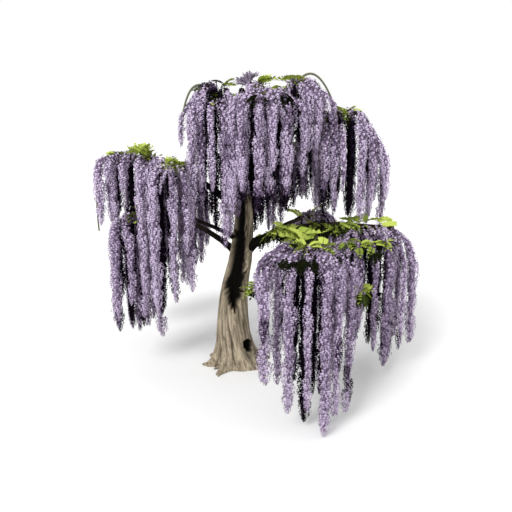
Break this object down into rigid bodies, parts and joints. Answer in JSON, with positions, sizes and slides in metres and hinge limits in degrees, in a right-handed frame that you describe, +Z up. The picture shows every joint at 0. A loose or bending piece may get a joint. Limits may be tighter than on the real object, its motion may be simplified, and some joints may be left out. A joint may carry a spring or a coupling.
{
  "type": "weeping wisteria tree",
  "caption": "Weeping wisteria grown as a small tree, in full flower, with a leaning fluted trunk, arching boughs and curtains of hanging blossom.",
  "frame": {"origin": "middle of the flat cut under the trunk, at ground level", "axes": "+Z up from the ground, -Y towards the side the picture is taken from, +X to that side's right"},
  "size_m": [4.4844, 3.6927, 3.9777],
  "materials": {
    "bark": "rough furrowed bark",
    "blossom": "matt petals",
    "leaf": "soft leaf"
  },
  "bodies": {
    "root": {"trunk": "bark", "bough_low_left": "bark", "bough_high_left": "bark", "bough_mid_left": "bark", "bough_right": "bark", "bough_right_front": "bark", "bough_right_far": "bark", "bough_top_left": "bark", "bough_top_middle": "bark", "bough_top_front": "bark", "bough_top_right": "bark", "bough_top_back": "bark", "bough_far_right": "bark", "bough_back_left": "bark", "bough_back_left_low": "bark", "bough_back_right_low": "bark", "bough_back_right": "bark", "bough_inner_right": "bark", "mass_top_left": "blossom", "mass_top_middle": "blossom", "mass_top_front": "blossom", "mass_top_right": "blossom", "mass_upper_right": "blossom", "mass_low_front": "blossom", "mass_low_right": "blossom", "mass_mid_left": "blossom", "mass_low_left": "blossom", "mass_upper_left": "blossom", "mass_top_back": "blossom", "mass_back_right": "blossom", "mass_inner_right": "blossom", "mass_back_right_low": "blossom", "mass_back_left": "blossom", "mass_back_left_low": "blossom", "trunk_sprout": "leaf"}
  },
  "joints": []
}
